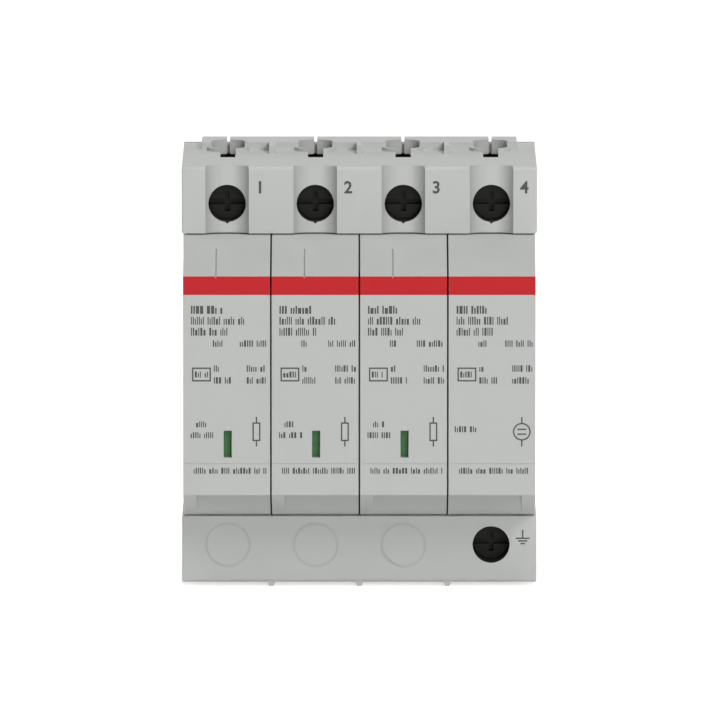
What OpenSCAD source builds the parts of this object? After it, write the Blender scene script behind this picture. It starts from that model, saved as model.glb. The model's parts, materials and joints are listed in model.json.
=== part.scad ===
// Four-pole surge arrester for a top-hat rail, with plug-in cartridges.
// The origin is the middle of the rail seat. X runs along the rail, the front faces -Y and Z is up.

/* [Module row] */
// Width of one module along the rail
module_pitch = 17.8; // [17.6:0.1:19]
// How far the base's end walls stand beyond the outer modules
end_wall = 0.3; // [0:0.1:0.4]

/* [Base] */
// Height of the base
body_h = 84.9; // [83:0.1:90]
// Height of the bay between the two terminal blocks
bay_h = 57.6; // [55:0.2:58]
// Rail seat to the front of the terminal blocks
terminal_depth = 42.5; // [41:0.5:46]
// Rail seat to the floor of the cartridge bay
floor_depth = 14; // [13:0.5:16]
// Thickness of the bay floor
floor_t = 1.5; // [1:0.1:2]
// Thickness of the walls above and below each wiring chamber
wall = 1.3; // [1:0.1:1.5]
// Thickness of the terminal blocks' front wall
front_wall = 4; // [3:0.1:4.5]
// Thickness of the wall between two wiring chambers
partition = 2.4; // [1.6:0.1:3]
// Thickness of the rear cover's plate
cover_t = 2; // [1.5:0.1:2.5]
// Radius of the terminal blocks' outer front edges
edge_r = 0.8; // [0.4:0.1:1.2]

/* [Terminals] */
// Diameter of the terminal screw's shank
screw_d = 5; // [4:0.1:5]
// Diameter of the screw head
head_d = 7.1; // [6:0.1:7.2]
// Thickness of the screw head
head_t = 3.4; // [2.4:0.1:3.6]
// Depth of the screw head behind the flute's floor
head_recess = 3.4; // [1.6:0.1:5]
// Diameter of the hole that a screwdriver goes in
driver_hole_d = 7.5; // [7.3:0.1:8]
// Thickness of the web that the screw head bears on
web_t = 1.2; // [0.6:0.1:1.5]
// Wall of the tube around the screw head
tube_wall = 1.1; // [0.8:0.1:1.5]
// Screw axis below the middle of the terminal block
screw_drop = 0.9; // [0:0.1:0.9]
// Width of the driver slot in the screw head
driver_slot_w = 1.1; // [0.8:0.1:1.4]
// Depth of the driver slot in the screw head
driver_slot_deep = 1.8; // [1:0.1:2]
// Length of the short slot across the driver slot
cross_slot_l = 4; // [3:0.1:5]
// Length of the screw's bevelled tip
screw_point = 0.6; // [0.4:0.1:1]
// Width of the concave flute around a driver hole
flute_w = 8.8; // [8:0.1:10]
// Width of the flute's flat floor
flute_flat = 3; // [1:0.1:4]
// Depth of the flute
flute_deep = 1.6; // [1:0.1:3]
// Width of the notch under a flute's driver hole
notch_w = 0.6; // [0.5:0.1:1.2]
// Outer width of the lift cage
cage_w = 9.8; // [9.6:0.1:11]
// Thickness of the cage's threaded front wall
cage_front_t = 2.4; // [2:0.1:3]
// Thickness of the cage's other walls
cage_t = 1; // [0.8:0.1:1]
// Travel of the cage from open to clamped
cage_travel = 4.8; // [4:0.1:5]
// Room for a comb busbar's pin in front of the contact bar
comb_room = 6; // [5:0.1:6.5]
// Room for a cable behind the contact bar
cable_room = 7.6; // [7.5:0.1:8]

/* [Top and bottom faces] */
// Bore of a cable entry
cable_d = 7.2; // [6:0.1:7.2]
// Wall of a cable collar
collar_wall = 0.85; // [0.7:0.05:1.2]
// Height of a cable collar
collar_h = 0.7; // [0.4:0.1:1.2]
// Width of the slit in the ridge behind a cable entry
slit_w = 0.6; // [0.4:0.1:1]
// Length of the slit behind the cable entry, where it goes through the top wall
slit_reach = 1.5; // [1:0.1:2.5]
// Depth of the notch that leads the slit through the back of the ridge
rear_notch = 1.2; // [0.8:0.1:1.6]
// Height of the ridge that joins the collars
ridge_h = 1.7; // [1.4:0.1:2.2]
// Depth of the ridge from front to back
ridge_d = 10; // [5:0.5:10]
// Reach of the ridge in front of the cable entries' axes
ridge_lead = 1.2; // [1:0.1:3]
// Bare end of the top face beside the ridge
ridge_inset = 3.8; // [3:0.1:4]
// Width of the ribs between the modules
rib_w = 1.1; // [0.8:0.1:1.6]
// Length of those ribs in front of the ridge
rib_reach = 6; // [4:0.5:7]
// Width of a comb busbar's slot
comb_slot_w = 3.1; // [2:0.1:4]
// Reach of the comb busbar's slot in front of a cable entry's axis
comb_slot_reach = 12.7; // [11:0.1:13.5]
// Width of a foot at its root
foot_w = 1.6; // [1.4:0.1:4]
// Width of a foot at its tip
foot_tip_w = 0.8; // [0.6:0.1:1.2]
// Height of a foot
foot_h = 0.8; // [0.4:0.1:1]
// Distance from the terminal face to the end of a foot
foot_inset = 0.3; // [0.1:0.1:5]
// Diameter of the ring on a blank terminal
blank_d = 9.3; // [7:0.1:10]
// Width of that ring's groove
blank_groove_w = 0.5; // [0.2:0.1:1]
// Depth of that ring's groove
blank_groove_deep = 0.12; // [0.04:0.02:0.2]

/* [Rail seat] */
// Width of the rail
rail_w = 35; // [35:0.1:36]
// Thickness of the rail's edges
rail_t = 1; // [1:0.1:1.5]
// How far the back reaches behind the rail's front
rear_depth = 5.5; // [5.2:0.1:7]
// How far the hook and the clips reach over the rail's edge
rail_grip = 1.6; // [1.2:0.1:2.2]
// Depth of the relief in the seat under the hook and the clips
seat_relief = 0.3; // [0.2:0.1:0.6]
// Height of the hook above the rail
hook_h = 12; // [8:0.5:18]
// Height of the hook's and the guide's slanted ends
slant_h = 3; // [1:0.5:5]

/* [Rail clips] */
// Width of a clip's sliding flange
clip_flange_w = 13; // [12:0.5:16]
// Thickness of the sliding flange
clip_flange_t = 1.5; // [1:0.1:1.7]
// Width of a clip's body
clip_w = 9; // [8:0.5:11]
// Travel of a clip
clip_travel = 4; // [3:0.5:5]
// Length of the clip spring when the clip is pulled right down
clip_spring_pressed = 5; // [4:0.5:6]
// Diameter of the clip spring
clip_spring_d = 3; // [2.4:0.1:3]
// Wire of the clip spring
clip_spring_wire = 0.5; // [0.3:0.05:0.6]
// Turns of the clip spring
clip_spring_turns = 7; // [5:1:8]
// Width of the screwdriver slot at the clip's foot
clip_slot_w = 5; // [3:0.5:6]
// Height of the screwdriver slot at the clip's foot
clip_slot_h = 1.6; // [1:0.1:2]

/* [Conductors] */
// Thickness of the contact strips
strip_t = 1.2; // [1:0.1:1.2]
// Width of the contact strips
strip_w = 6.8; // [5:0.1:6.8]
// Thickness of a fork's leaf
leaf_t = 0.8; // [0.5:0.1:1.2]
// Thickness of a cartridge blade
blade_t = 1.2; // [0.8:0.1:1.5]
// Height of a cartridge blade
blade_h = 8; // [6:0.5:9]
// Distance of the blades from the rail's centre line
blade_z = 20; // [18.5:0.5:21]
// Height of the neutral busbar
busbar_h = 4; // [3:0.5:6]
// Top of the neutral busbar below the rail's centre line
busbar_drop = 4; // [2:0.5:6]
// Reach of a blade's arm beside the varistor
arm_reach = 10.7; // [6:0.1:14]

/* [Cartridges] */
// Height of a cartridge's nose
nose_h = 44.3; // [43:0.1:45]
// Rail seat to the front of the nose
nose_depth = 59.3; // [57:0.1:62]
// Gap between neighbouring cartridges
cartridge_gap = 0.3; // [0.3:0.1:0.8]
// Wall of a cartridge shell
shell_wall = 1.3; // [1:0.1:1.5]
// Thickness of a cartridge's back plate
back_t = 1.7; // [1.2:0.1:2.2]
// Width of the indicator window
window_w = 1.6; // [1.4:0.05:2.2]
// Height of the indicator window
window_h = 5.5; // [4:0.1:5.8]
// Middle of the window below the rail's centre line
window_drop = 11.85; // [10.5:0.05:12]
// Offset of the window from the cartridge's middle
window_x = 0.2; // [0:0.1:1]
// Parting line on the nose below the rail's centre line
parting_drop = 15.8; // [14.8:0.1:18]
// Width and depth of the nose's parting groove
parting_groove = 0.1; // [0.1:0.05:0.3]
// Width and depth of the shoulder's parting groove
shoulder_groove = 0.25; // [0.1:0.05:0.3]
// Distance of the shoulder's parting groove from the cartridge's left side
shoulder_groove_x = 6.6; // [4:0.1:9]
// Length of the shoulder's parting groove from the nose backwards
shoulder_groove_l = 11; // [6:0.5:13]
// Distance of the finger grip from the cartridge's left side
grip_x = 2.65; // [2:0.05:4]
// Depth of the finger grip
grip_deep = 0.5; // [0.3:0.1:0.7]
// Width of the lip in front of the finger grip
grip_lip = 0.6; // [0.5:0.1:2]

/* [Inside the cartridges] */
// Thickness of the varistor block
varistor_t = 6.4; // [5:0.1:6.6]
// Depth of the varistor block from front to back
varistor_d = 32; // [26:0.5:33]
// Bevel of the varistor's corners
varistor_bevel = 3; // [1:0.5:5]
// Thickness of the carrier's walls
carrier_t = 1.2; // [1:0.1:1.5]
// Width of the indicator flag
flag_w = 3; // [2.6:0.1:3.4]
// Thickness of the indicator flag's plate
flag_t = 1.2; // [0.8:0.1:1.4]
// Depth of the slider behind the flag's plate
slider_d = 2.1; // [1.8:0.1:2.4]
// Height of the slider behind the flag's plate
slider_h = 4.5; // [3:0.5:5]
// Overlap of the flag beyond the window's edges
flag_lap = 0.75; // [0.5:0.05:0.8]
// Length of the flag spring at rest
flag_spring_l = 5; // [4:0.5:5]
// Diameter of the flag spring
flag_spring_d = 1.8; // [1.4:0.1:1.8]
// Wire of the flag spring
flag_spring_wire = 0.35; // [0.2:0.05:0.4]
// Turns of the flag spring
flag_spring_turns = 5; // [4:1:7]
// Diameter of the discharge tube's ceramic body
tube_d = 10; // [8:0.5:12]
// Length of the discharge tube over its caps
tube_l = 22; // [18:0.5:24]
// Thickness of the discharge tube's end caps
tube_cap_t = 2; // [1:0.5:3]
// Step of an end cap beyond the ceramic body
tube_cap_step = 0.3; // [0.1:0.1:0.6]
// Thickness of the plates that the discharge tube sits between
tube_plate_t = 1; // [0.8:0.1:1.5]

/* [Fits] */
// Running clearance of a blade in its fork and of a screw in its cage
run_gap = 0.05; // [0.02:0.01:0.08]
// Clearance around pieces that are assembled together
fit_gap = 0.1; // [0.05:0.05:0.2]
// Clearance around pieces that slide
slide_gap = 0.3; // [0.2:0.05:0.4]

/* [Hidden] */
$fn = 64;
cut = 0.1;
poles = [1, 2, 3, 4];
varistor_poles = [1, 2, 3];
neutral_pole = 4;
terminals = [1, 2, 3, 4, 5];
earth_terminal = 5;
clips = [1, 2];

base_w = len(poles) * module_pitch + 2 * end_wall;
body_top = body_h / 2;
bay_top = bay_h / 2;
chamber_w = module_pitch - partition;
chamber_low = bay_top + wall;
chamber_high = body_top - wall;
chamber_front = -terminal_depth + front_wall;
cover_front = -cover_t;
room_front = -floor_depth + floor_t;

// Terminal, from the front to the back
screw_z = (body_top + bay_top) / 2 - screw_drop;
flute_floor = -terminal_depth + flute_deep;
flute_reach = (flute_w - flute_flat) / 2;
flute_r = (pow(flute_reach, 2) + pow(flute_deep, 2)) / (2 * flute_deep);
head_front = flute_floor + head_recess;
web_front = head_front + head_t + fit_gap;
web_back = web_front + web_t;
cage_front = web_back + slide_gap + cage_travel;
bar_front = cage_front + cage_front_t + comb_room;
bar_back = bar_front + strip_t;
cage_back = bar_back + cable_room + cage_t;
cable_y = bar_back + cable_room / 2;
strip_low = chamber_low + fit_gap;
cage_low = strip_low + strip_t + 2 * fit_gap;
cage_high = chamber_high - wall - slide_gap;
tube_r = driver_hole_d / 2 + tube_wall;

// Conductors behind the bay floor
strip_back = cover_front - 2 * fit_gap;
strip_front = strip_back - strip_t;
leaf_tip = room_front + wall;
blade_tip = strip_front - strip_t;
blade_low = blade_z - blade_h / 2;
fork_x = blade_t / 2 + run_gap;

// Rail seat and clips
seat_half = rail_w / 2 + slide_gap;
grip_edge = rail_w / 2 - rail_grip;
land_half = grip_edge - slide_gap;
grip_front = rail_t + slide_gap;
grip_back = (grip_front + rear_depth) / 2;
guide_low = -body_top + cover_t;
clip_back = rear_depth - slide_gap;
clip_low = guide_low - cover_t / 2;
clip_slot_low = clip_low + clip_slot_h / 2;
clip_axis = (grip_front + clip_back) / 2;
clip_spring_l = clip_spring_pressed + clip_travel;
window_sill = clip_slot_low + clip_slot_h + wall;
lug_low = window_sill + slide_gap;
lug_h = cover_t;
lug_top = lug_low + lug_h;
clip_window_top = lug_top + clip_spring_l;
clip_window_w = clip_spring_d + 2 * slide_gap;

// Cartridge outline, from the back to the nose
cartridge_w = module_pitch - cartridge_gap;
cartridge_back = -floor_depth - slide_gap;
cartridge_top = bay_top - slide_gap;
shoulder_y = -terminal_depth - slide_gap;
nose_y = -nose_depth;
nose_top = nose_h / 2;
shoulder_slope = (cartridge_top - nose_top) / (shoulder_y - nose_y);
shoulder_slant = sqrt(1 + pow(shoulder_slope, 2));
inner_w = cartridge_w - 2 * shell_wall;
inner_front = nose_y + shell_wall;
inner_top = cartridge_top - shell_wall;
inner_shoulder = shoulder_y + shell_wall * (shoulder_slant - 1) / shoulder_slope;
back_front = cartridge_back - back_t;
foot_front = back_front - strip_t;

// Indicator, from the front to the back and from the window down
flag_front = inner_front + slide_gap;
flag_back = flag_front + flag_t;
slider_back = flag_back + slider_d;
pad_front = slider_back + slide_gap;
pad_back = pad_front + carrier_t;
flag_low = -window_drop - window_h / 2 - flag_lap;
flag_h = window_h + 2 * flag_lap;
flag_travel = window_h + flag_lap + fit_gap;
slider_low = flag_low + flag_lap;
ledge_top = slider_low - flag_spring_l;
ledge_low = ledge_top - carrier_t;
carrier_x = blade_t / 2 + slide_gap;
varistor_back = foot_front - slide_gap;
varistor_high = blade_low - slide_gap;
flag_run_top = flag_low + flag_h + flag_travel + wall;
tube_y = (inner_front + back_front) / 2;
tube_post_w = strip_w / 2;

light_grey = [0.73, 0.74, 0.73];
mid_grey = [0.62, 0.63, 0.62];
copper = [0.78, 0.5, 0.35];
steel = [0.55, 0.56, 0.57];
signal_green = [0.16, 0.45, 0.2];
signal_red = [0.72, 0.1, 0.12];
ceramic_blue = [0.2, 0.3, 0.5];
ceramic_white = [0.92, 0.92, 0.9];

function numbered(name, list) = [for (i = list) str(name, "_", i)];

function pole_x(i) = (i - (len(poles) + 1) / 2) * module_pitch;
function clip_x(i) = (2 * i - len(clips) - 1) * module_pitch;
function is_varistor(i) = i != neutral_pole;

// Outer height of a cartridge's half at a depth within its shoulder
function shoulder_z(y) = cartridge_top - (shoulder_y - y) * shoulder_slope;

// Box between two corners
module block(low, high) {
    translate(low) cube(high - low);
}

// Outline in the YZ plane, drawn out along X about the middle
module along_x(width, x = 0) {
    translate([x - width / 2, 0, 0]) rotate([90, 0, 90]) linear_extrude(width) children();
}

// Round bar along Y
module bar_y(diameter, from, to) {
    translate([0, from, 0]) rotate([-90, 0, 0]) cylinder(d = diameter, h = to - from);
}

// Waste along X outside a rounded front edge at a height
module edge_waste(high) {
    difference() {
        block(
            [-base_w / 2 - cut, -terminal_depth - cut, high - edge_r],
            [base_w / 2 + cut, -terminal_depth + edge_r, high + cut]
        );
        translate([-base_w / 2 - 2 * cut, -terminal_depth + edge_r, high - edge_r])
            rotate([0, 90, 0]) cylinder(r = edge_r, h = base_w + 4 * cut);
    }
}

// Places children at a terminal's axis, upside down for the earth terminal
module at_terminal(i) {
    flip = i == earth_terminal;
    x = pole_x(flip ? neutral_pole : i);
    translate([x, 0, 0]) mirror([0, 0, flip ? 1 : 0]) children();
}

// Coil along Z that starts at the origin, wound from a round wire
module coil(diameter, wire, length, turns) {
    sides = 6;
    steps_per_turn = 12;
    steps = turns * steps_per_turn;
    radius = (diameter - wire) / 2;
    points = [
        for (s = [0:steps])
            let (a = 360 * turns * s / steps, z = wire / 2 + (length - wire) * s / steps)
                for (k = [0:sides - 1])
                    let (b = 360 * k / sides, r = radius + wire / 2 * cos(b))
                        [r * cos(a), r * sin(a), z + wire / 2 * sin(b)]
    ];
    walls = [
        for (s = [0:steps - 1])
            for (k = [0:sides - 1])
                let (n = (k + 1) % sides, here = s * sides, there = here + sides)
                    each [[here + k, here + n, there + n], [here + k, there + n, there + k]]
    ];
    start_cap = [for (k = [sides - 1:-1:0]) k];
    end_cap = [for (k = [0:sides - 1]) steps * sides + k];
    polyhedron(points, concat(walls, [start_cap, end_cap]));
}

// Solid blocks of the base, with the open bay between them
module base_blocks() {
    difference() {
        block([-base_w / 2, -terminal_depth, -body_top], [base_w / 2, cover_front, body_top]);
        block(
            [-base_w / 2 - cut, -terminal_depth - cut, -bay_top],
            [base_w / 2 + cut, -floor_depth, bay_top]
        );
        for (side = [0, 1]) mirror([0, 0, side]) edge_waste(body_top);
    }
}

// Wiring chambers in both blocks and the contact room behind the bay floor
module base_hollows() {
    for (i = poles)
        for (side = [0, 1])
            mirror([0, 0, side])
                block(
                    [pole_x(i) - chamber_w / 2, chamber_front, chamber_low],
                    [pole_x(i) + chamber_w / 2, cover_front + cut, chamber_high]
                );
    block(
        [-(base_w - partition) / 2, room_front, -chamber_low - cut],
        [(base_w - partition) / 2, cover_front + cut, chamber_low + cut]
    );
}

// Ridge, ribs and low collars on the top face
module top_relief() {
    ridge_front = cable_y - ridge_lead;
    ridge_back = ridge_front + ridge_d;
    block(
        [-base_w / 2 + ridge_inset, ridge_front, body_top - cut],
        [base_w / 2 - ridge_inset, ridge_back, body_top + ridge_h]
    );
    for (i = [1:len(poles) - 1])
        translate([pole_x(i) + module_pitch / 2, 0, 0])
            block(
                [-rib_w / 2, ridge_front - rib_reach, body_top - cut],
                [rib_w / 2, ridge_back, body_top + ridge_h]
            );
    for (i = poles)
        translate([pole_x(i), cable_y, body_top - cut])
            cylinder(d = cable_d + 2 * collar_wall, h = collar_h + cut);
}

// Slits in the ridge, and a comb busbar's slots, which split the collars and reach the cable entries
module top_cuts() {
    for (i = poles)
        translate([pole_x(i), cable_y, 0]) {
            block(
                [-slit_w / 2, 0, chamber_high - cut],
                [slit_w / 2, cable_d / 2 + slit_reach, body_top + ridge_h + cut]
            );
            block(
                [-slit_w / 2, 0, body_top + ridge_h - rear_notch],
                [slit_w / 2, ridge_d, body_top + ridge_h + cut]
            );
            block(
                [-comb_slot_w / 2, -comb_slot_reach, chamber_high - cut],
                [comb_slot_w / 2, 0, body_top + collar_h + cut]
            );
        }
}

// Feet along the bottom face, between the modules
module feet() {
    for (i = [1:len(poles) - 1])
        translate([pole_x(i) + module_pitch / 2, cover_front, -body_top])
            rotate([90, 0, 0])
                linear_extrude(terminal_depth - cover_t - foot_inset)
                    polygon([
                        [-foot_w / 2, edge_r],
                        [-foot_w / 2, 0],
                        [-foot_tip_w / 2, -foot_h],
                        [foot_tip_w / 2, -foot_h],
                        [foot_w / 2, 0],
                        [foot_w / 2, edge_r]
                    ]);
}

// Tube that holds a screw head, with the web at its back
module screw_tube() {
    translate([0, 0, screw_z]) bar_y(2 * tube_r, chamber_front - cut, web_back);
}

// Driver hole, screw clearance and cable entry of one terminal
module terminal_cuts() {
    translate([0, 0, screw_z]) {
        bar_y(driver_hole_d, -terminal_depth - cut, web_front);
        bar_y(screw_d + 2 * slide_gap, web_front - cut, web_back + cut);
    }
    translate([0, cable_y, chamber_high - cut]) cylinder(d = cable_d, h = wall + ridge_h + 2 * cut);
}

// Flat-floored flute around an upper driver hole, with a small notch under the hole
module flute() {
    high = body_top + cut;
    for (side = [-1, 1])
        translate([side * flute_flat / 2, flute_floor - flute_r, bay_top - cut])
            cylinder(r = flute_r, h = high - bay_top + cut);
    block([-flute_flat / 2, -terminal_depth - cut, bay_top - cut], [flute_flat / 2, flute_floor, high]);
    translate([0, flute_floor, screw_z - driver_hole_d / 2])
        rotate([0, 45, 0]) cube([notch_w, 2 * notch_w, notch_w], center = true);
}

// Ring groove that marks a terminal left blank
module blank_ring() {
    translate([0, 0, screw_z])
        difference() {
            bar_y(blank_d, -terminal_depth - cut, -terminal_depth + blank_groove_deep);
            bar_y(
                blank_d - 2 * blank_groove_w,
                -terminal_depth - 2 * cut,
                -terminal_depth + 2 * blank_groove_deep
            );
        }
}

// Openings in the bay floor for the blades of one cartridge
module blade_openings() {
    gap = blade_t / 2 + slide_gap;
    for (side = [0, 1])
        mirror([0, 0, side])
            block(
                [-gap, -floor_depth - cut, blade_low - slide_gap],
                [gap, room_front + cut, blade_low + blade_h + slide_gap]
            );
}

module base_housing() {
    color(light_grey)
        difference() {
            union() {
                difference() {
                    union() {
                        base_blocks();
                        top_relief();
                        feet();
                    }
                    base_hollows();
                }
                for (i = terminals) at_terminal(i) screw_tube();
            }
            for (i = terminals) at_terminal(i) terminal_cuts();
            for (i = poles) translate([pole_x(i), 0, 0]) flute();
            for (i = poles) translate([pole_x(i), 0, 0]) blade_openings();
            for (i = varistor_poles) translate([pole_x(i), 0, 0]) mirror([0, 0, 1]) blank_ring();
            top_cuts();
        }
}

// Side view of the rear cover: plate, fixed hook above the rail and clip guide below it
module cover_profile() {
    polygon([
        [cover_front, body_top],
        [0, body_top],
        [0, seat_half + hook_h],
        [rear_depth, seat_half + hook_h - slant_h],
        [rear_depth, seat_half],
        [grip_back, grip_edge],
        [grip_front, grip_edge],
        [grip_front, seat_half],
        [-seat_relief, seat_half],
        [-seat_relief, land_half],
        [0, land_half],
        [0, -land_half],
        [-seat_relief, -land_half],
        [-seat_relief, -seat_half],
        [rear_depth, -seat_half],
        [rear_depth, guide_low + slant_h],
        [grip_front, guide_low],
        [0, guide_low],
        [cover_front, -body_top]
    ]);
}

// Room that a clip slides in, open below, above and to the back
module clip_channel() {
    block(
        [-clip_flange_w / 2 - slide_gap, grip_front - slide_gap, guide_low - cut],
        [clip_flange_w / 2 + slide_gap, grip_front + clip_flange_t + slide_gap, -seat_half + cut]
    );
    block(
        [-clip_w / 2 - slide_gap, grip_front, guide_low - cut],
        [clip_w / 2 + slide_gap, rear_depth + cut, -seat_half + cut]
    );
}

// Lug that the clip spring stands on
module spring_lug() {
    block(
        [-clip_spring_d / 2, 0, lug_low],
        [clip_spring_d / 2, clip_back - slide_gap, lug_top]
    );
}

module rear_cover() {
    color(mid_grey) {
        difference() {
            along_x(base_w) cover_profile();
            for (i = clips) translate([clip_x(i), 0, 0]) clip_channel();
        }
        for (i = clips) translate([clip_x(i), 0, 0]) spring_lug();
    }
}

// Side view of a rail clip, with its bevelled tip behind the rail's edge
module clip_profile() {
    polygon([
        [grip_front, clip_low],
        [clip_back, clip_low],
        [clip_back, -seat_half - fit_gap],
        [grip_back, -grip_edge],
        [grip_front, -grip_edge]
    ]);
}

module rail_clip(i) {
    flange_top = -seat_half - slide_gap;
    color(mid_grey)
        translate([clip_x(i), 0, 0])
            difference() {
                union() {
                    along_x(clip_w) clip_profile();
                    block(
                        [-clip_flange_w / 2, grip_front, window_sill],
                        [clip_flange_w / 2, grip_front + clip_flange_t, flange_top]
                    );
                }
                block(
                    [-clip_window_w / 2, grip_front - cut, window_sill],
                    [clip_window_w / 2, clip_back + cut, clip_window_top]
                );
                block(
                    [-clip_slot_w / 2, grip_front - cut, clip_slot_low],
                    [clip_slot_w / 2, clip_back + cut, clip_slot_low + clip_slot_h]
                );
            }
}

module clip_spring(i) {
    color(steel)
        translate([clip_x(i), clip_axis, lug_top + fit_gap])
            coil(clip_spring_d, clip_spring_wire, clip_spring_l - 2 * fit_gap, clip_spring_turns);
}

module terminal_screw(i) {
    tip = bar_front - fit_gap;
    slot_back = head_front + driver_slot_deep;
    color(steel)
        at_terminal(i)
            translate([0, 0, screw_z])
                difference() {
                    union() {
                        bar_y(head_d, head_front, head_front + head_t);
                        bar_y(screw_d, head_front + head_t - cut, tip - screw_point);
                        translate([0, tip - screw_point - cut, 0])
                            rotate([-90, 0, 0])
                                cylinder(d1 = screw_d, d2 = screw_d - 2 * screw_point, h = screw_point + cut);
                    }
                    block([-head_d, head_front - cut, -driver_slot_w / 2], [head_d, slot_back, driver_slot_w / 2]);
                    block(
                        [-driver_slot_w / 2, head_front - cut, -cross_slot_l / 2],
                        [driver_slot_w / 2, slot_back, cross_slot_l / 2]
                    );
                }
}

module terminal_cage(i) {
    color(steel)
        at_terminal(i)
            difference() {
                block([-cage_w / 2, cage_front, cage_low], [cage_w / 2, cage_back, cage_high]);
                block(
                    [-cage_w / 2 + cage_t, cage_front + cage_front_t, cage_low - cut],
                    [cage_w / 2 - cage_t, cage_back - cage_t, cage_high + cut]
                );
                translate([0, 0, screw_z])
                    bar_y(screw_d + 2 * run_gap, cage_front - cut, cage_front + cage_front_t + cut);
            }
}

// Fork for an upper blade, carried by a strip that runs from low to high
module fork(low, high) {
    block([-strip_w / 2, strip_front, low], [strip_w / 2, strip_back, high]);
    for (side = [0, 1])
        mirror([side, 0, 0])
            block(
                [fork_x, leaf_tip, blade_low],
                [fork_x + leaf_t, strip_front + cut, blade_low + blade_h]
            );
}

// Contact bar in the cage, its leg under the cage and the fork behind the bay floor
module terminal_strip(low) {
    block([-strip_w / 2, bar_front, strip_low], [strip_w / 2, bar_back, chamber_high - slide_gap]);
    block([-strip_w / 2, bar_front, strip_low], [strip_w / 2, strip_back, strip_low + strip_t]);
    fork(low, strip_low + strip_t);
}

module line_contact(i) {
    color(copper) at_terminal(i) terminal_strip(blade_low);
}

module earth_contact() {
    color(copper) at_terminal(earth_terminal) terminal_strip(blade_low);
}

module neutral_busbar() {
    busbar_low = -busbar_drop - busbar_h;
    color(copper) {
        at_terminal(neutral_pole) terminal_strip(busbar_low);
        block(
            [pole_x(varistor_poles[0]) - strip_w / 2, strip_front, busbar_low],
            [pole_x(neutral_pole) + strip_w / 2, strip_back, -busbar_drop]
        );
        for (i = varistor_poles)
            translate([pole_x(i), 0, 0]) mirror([0, 0, 1]) fork(busbar_drop, blade_low + blade_h);
    }
}

// Side view of a cartridge
module cartridge_profile() {
    polygon([
        [cartridge_back, cartridge_top],
        [shoulder_y, cartridge_top],
        [nose_y, nose_top],
        [nose_y, -nose_top],
        [shoulder_y, -cartridge_top],
        [cartridge_back, -cartridge_top]
    ]);
}

// Side view of the room inside a cartridge, open to the back
module cartridge_room() {
    front_top = shoulder_z(inner_front) - shell_wall * shoulder_slant;
    polygon([
        [cartridge_back + cut, inner_top],
        [inner_shoulder, inner_top],
        [inner_front, front_top],
        [inner_front, -front_top],
        [inner_shoulder, -inner_top],
        [cartridge_back + cut, -inner_top]
    ]);
}

// Band of a shoulder between two depths, to a depth under its surface
module shoulder_band(from, to, deep) {
    sink = deep * shoulder_slant;
    polygon([
        [from, shoulder_z(from) - sink],
        [to, shoulder_z(to) - sink],
        [to, shoulder_z(to) + sink],
        [from, shoulder_z(from) + sink]
    ]);
}

// Finger grip in the lower shoulder, open to one side, which fades out to the back
module finger_grip(varistor) {
    start = varistor ? -cartridge_w / 2 + grip_x : -cartridge_w / 2 - cut;
    end = varistor ? cartridge_w / 2 + cut : cartridge_w / 2 - grip_x;
    front = nose_y + grip_lip;
    back = shoulder_y;
    sink = grip_deep * shoulder_slant;
    mirror([0, 0, 1])
        along_x(end - start, (start + end) / 2)
            polygon([
                [front, shoulder_z(front) - sink],
                [back, shoulder_z(back) + cut],
                [back, shoulder_z(back) + sink],
                [front, shoulder_z(front) + sink]
            ]);
}

// Indicator window, the shoulder's groove and the grip of one shell
module shell_cuts(varistor) {
    block(
        [-cartridge_w / 2 - cut, nose_y - cut, -parting_drop - parting_groove / 2],
        [cartridge_w / 2 + cut, nose_y + parting_groove, -parting_drop + parting_groove / 2]
    );
    if (varistor) {
        block(
            [window_x - window_w / 2, nose_y - cut, -window_drop - window_h / 2],
            [window_x + window_w / 2, inner_front + cut, -window_drop + window_h / 2]
        );
        along_x(shoulder_groove, -cartridge_w / 2 + shoulder_groove_x)
            shoulder_band(nose_y, nose_y + shoulder_groove_l, shoulder_groove);
    }
    finger_grip(varistor);
}

module cartridge_shell(i) {
    color(light_grey)
        translate([pole_x(i), 0, 0])
            difference() {
                along_x(cartridge_w) cartridge_profile();
                along_x(inner_w) cartridge_room();
                shell_cuts(is_varistor(i));
            }
}

module cartridge_back(i) {
    slot = blade_t / 2 + fit_gap;
    color(mid_grey)
        translate([pole_x(i), 0, 0])
            difference() {
                block(
                    [-inner_w / 2 + fit_gap, back_front, -inner_top + fit_gap],
                    [inner_w / 2 - fit_gap, cartridge_back, inner_top - fit_gap]
                );
                for (side = [0, 1])
                    mirror([0, 0, side])
                        block(
                            [-slot, back_front - cut, blade_low - fit_gap],
                            [slot, cartridge_back + cut, blade_low + blade_h + fit_gap]
                        );
            }
}

// Blade through the back plate, with its foot and its arm inside the cartridge
module blade(varistor) {
    high = blade_low + blade_h;
    arm_front = varistor ? varistor_back - arm_reach : tube_y - tube_post_w / 2;
    block([-blade_t / 2, foot_front, blade_low], [blade_t / 2, blade_tip, high]);
    block([-strip_w / 2, foot_front, blade_low], [strip_w / 2, back_front, high]);
    block([-blade_t / 2, arm_front, blade_low], [blade_t / 2, back_front, blade_z]);
    if (!varistor) {
        plate_low = tube_l / 2 + fit_gap;
        block(
            [-blade_t / 2, arm_front, plate_low],
            [blade_t / 2, arm_front + tube_post_w, blade_z]
        );
        block(
            [-strip_w / 2, tube_y - strip_w / 2, plate_low],
            [strip_w / 2, tube_y + strip_w / 2, plate_low + tube_plate_t]
        );
    }
}

module upper_blade(i) {
    color(copper) translate([pole_x(i), 0, 0]) blade(is_varistor(i));
}

module lower_blade(i) {
    color(copper) translate([pole_x(i), 0, 0]) mirror([0, 0, 1]) blade(is_varistor(i));
}

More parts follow.
